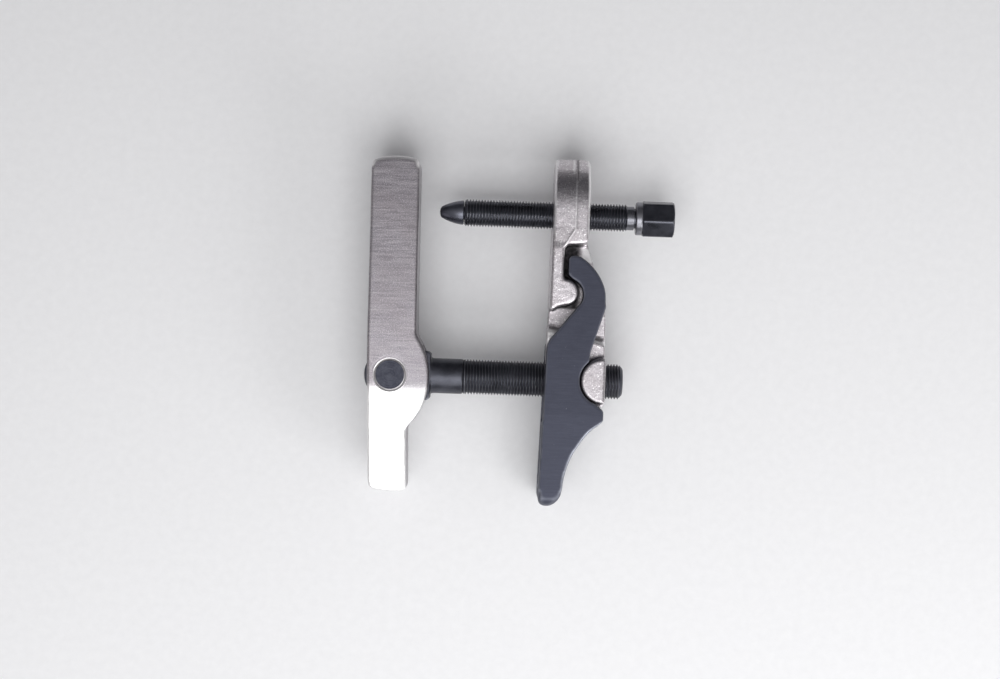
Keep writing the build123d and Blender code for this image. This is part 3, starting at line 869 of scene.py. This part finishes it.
def spindle_radius(u, r, th):
    if u < 34.75 or u >= 142.04:
        return np.full(len(th), r)
    if u < 118.06:
        d = thread_depth(u, th, 35.0, 119.6, 0.92, right_out=2.4)
        return np.minimum(r, 6.985 - d)
    if u < 125.71:
        return np.full(len(th), r)
    return np.minimum(hex_r(th), r)


spindle = turned("spindle_screw", rings, SP_N, SPINDLE_V, spindle_radius, theta0=HEX_TURN)
co = get_co(spindle.data)
u, v, z = uv(co)
r = np.hypot(v - SPINDLE_V, z - MID_Z)
crest = np.clip((r - 6.72) / 0.26, 0, 1) * band(u, 36.0, 117.0, 0.8)
th = np.arctan2(z - MID_Z, v - SPINDLE_V)
a = np.mod(th - HEX_TURN, math.pi / 3)
a = np.minimum(a, math.pi / 3 - a)
corner = np.clip(1 - a / 0.06, 0, 1) * band(u, 126.8, 141.0, 0.4)
# painted highlights on the neck and the collar; thread crests and hex corners lighter
neck_collar_highlight = band(u, 117.9, 121.5, 0.3) * 0.55 + band(u, 122.4, 125.6, 0.2) * 0.8
store(spindle.data, "wear_and_highlight", np.clip(0.5 * crest + 0.18 * corner + neck_collar_highlight, 0, 1))
shade(spindle, 32)
finish_piece(spindle, "spindle", ["spindle"], M_SCREW)

# ----------------------------------------------------------------- thrust tip
outer = [(22.1, 0.0), (22.12, 0.7), (22.2, 1.3), (22.4, 1.9), (22.7, 2.45), (23.1, 2.9)]
for k in range(1, 23):
    s = k / 22.0
    uu = 23.1 + s * 10.6
    # same bullet curve as the solid, run through its four points
    rr = float(np.interp(uu, [23.1, 24.6, 26.1, 28.1, 30.1, 32.0, 33.7], [2.9, 3.72, 4.36, 5.08, 5.66, 6.04, 6.22]))
    outer.append((uu, rr))
outer += [(33.95, 6.2), (34.2, 6.05), (34.4, 5.8), (34.4, 4.6), (34.4, 3.48), (33.0, 3.48), (33.0, 3.95),
          (32.0, 3.95), (32.0, 3.48), (30.0, 3.48), (28.3, 3.48), (26.05, 1.1), (26.05, 0.0)]
us = np.array([p[0] for p in outer[6:28]])
rs = np.array([p[1] for p in outer[6:28]])
for _ in range(6):
    rs[1:-1] = 0.5 * rs[1:-1] + 0.25 * (rs[:-2] + rs[2:])
for i in range(22):
    outer[6 + i] = (float(us[i]), float(rs[i]))
tip = turned("thrust_tip_turned", outer, 72, SPINDLE_V)
store(tip.data, "wear_and_highlight", np.zeros(len(tip.data.vertices)))
shade(tip, 40)
finish_piece(tip, "tip", ["thrust_tip"], M_NOSE_LIGHTENED)

for name in ("thrust_ball", "tip_retaining_ring"):
    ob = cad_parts[name]
    ob.data.materials.clear()
    ob.data.materials.append(M_BALL)

# ---------------------------------------------------------------------- stage
s = 3.0
floor = new_object("floor", [(-s, -s, -0.0001), (s, -s, -0.0001), (s, s, -0.0001), (-s, s, -0.0001)], [(0, 1, 2, 3)])
m, nt, bs = mat("pale_floor")
fine = noise_tex(nt, coords(nt), 220, 3.0, 0.6)
nt.links.new(mix_col(nt, remap(nt, fine, 0.3, 0.7), (0.86, 0.86, 0.87), (0.89, 0.89, 0.90)), bs.inputs["Base Color"])
bs.inputs["Roughness"].default_value = 0.75
bs.inputs["Specular IOR Level"].default_value = 0.2
floor.data.materials.append(m)


def area_light(name, at, towards, size, power, colour=(1, 1, 1)):
    li = bpy.data.lights.new(name, "AREA")
    li.shape = "RECTANGLE"
    li.size, li.size_y = size
    li.energy = power
    li.color = colour
    ob = bpy.data.objects.new(name, li)
    ob.location = at
    d = Vector(towards) - Vector(at)
    ob.rotation_euler = d.to_track_quat("-Z", "Y").to_euler()
    bpy.context.scene.collection.objects.link(ob)
    return ob


area_light("softbox_over", (0.0, -0.43, 1.15), (0.0, -0.37, 0.0), (0.95, 0.66), 7.0)
area_light("softbox_low", (0.0, -1.0, 0.85), (0.0, 0.0, 0.02), (1.1, 0.45), 4.0)

area_light("softbox_side", (0.80, -0.70, 0.50), (0.0, -0.02, 0.03), (0.55, 0.45), 3.5)

world = bpy.data.worlds.new("studio")
bpy.context.scene.world = world
world.use_nodes = True
nt = world.node_tree
nt.nodes.clear()
out = nt.nodes.new("ShaderNodeOutputWorld")
bg = nt.nodes.new("ShaderNodeBackground")
nt.links.new(bg.outputs[0], out.inputs[0])
tc = nt.nodes.new("ShaderNodeTexCoord")
sep = nt.nodes.new("ShaderNodeSeparateXYZ")
nt.links.new(tc.outputs["Generated"], sep.inputs[0])
# darker towards the horizon, and darkest low down on the +Y side
height = remap(nt, sep.outputs[2], 0.20, 0.92, 0.0, 1.0)
far_side = remap(nt, sep.outputs[1], 0.20, 0.68, 0.0, 1.0)
col = mix_col(nt, height, (0.20, 0.20, 0.21), (0.60, 0.60, 0.61))
sides = math_node(nt, "ABSOLUTE", sep.outputs[0])
col = mix_col(nt, remap(nt, sides, 0.35, 0.90, 0.0, 1.0), col, (0.52, 0.51, 0.515))
col = mix_col(nt, far_side, col, (0.09, 0.09, 0.10))
nt.links.new(col, bg.inputs["Color"])
bg.inputs["Strength"].default_value = 0.75

cam = bpy.data.cameras.new("camera")
cam.lens = 73.7
cam.sensor_width = 36.0
cam.clip_start, cam.clip_end = 0.05, 20.0
cam_ob = bpy.data.objects.new("camera", cam)
cam_ob.location = (-0.0092, -0.0055, 1.077)
cam_ob.rotation_euler = (0.0, 0.0, math.radians(2.0))
bpy.context.scene.collection.objects.link(cam_ob)
bpy.context.scene.camera = cam_ob
bpy.context.scene.view_settings.view_transform = "Standard"
bpy.context.scene.view_settings.look = "None"
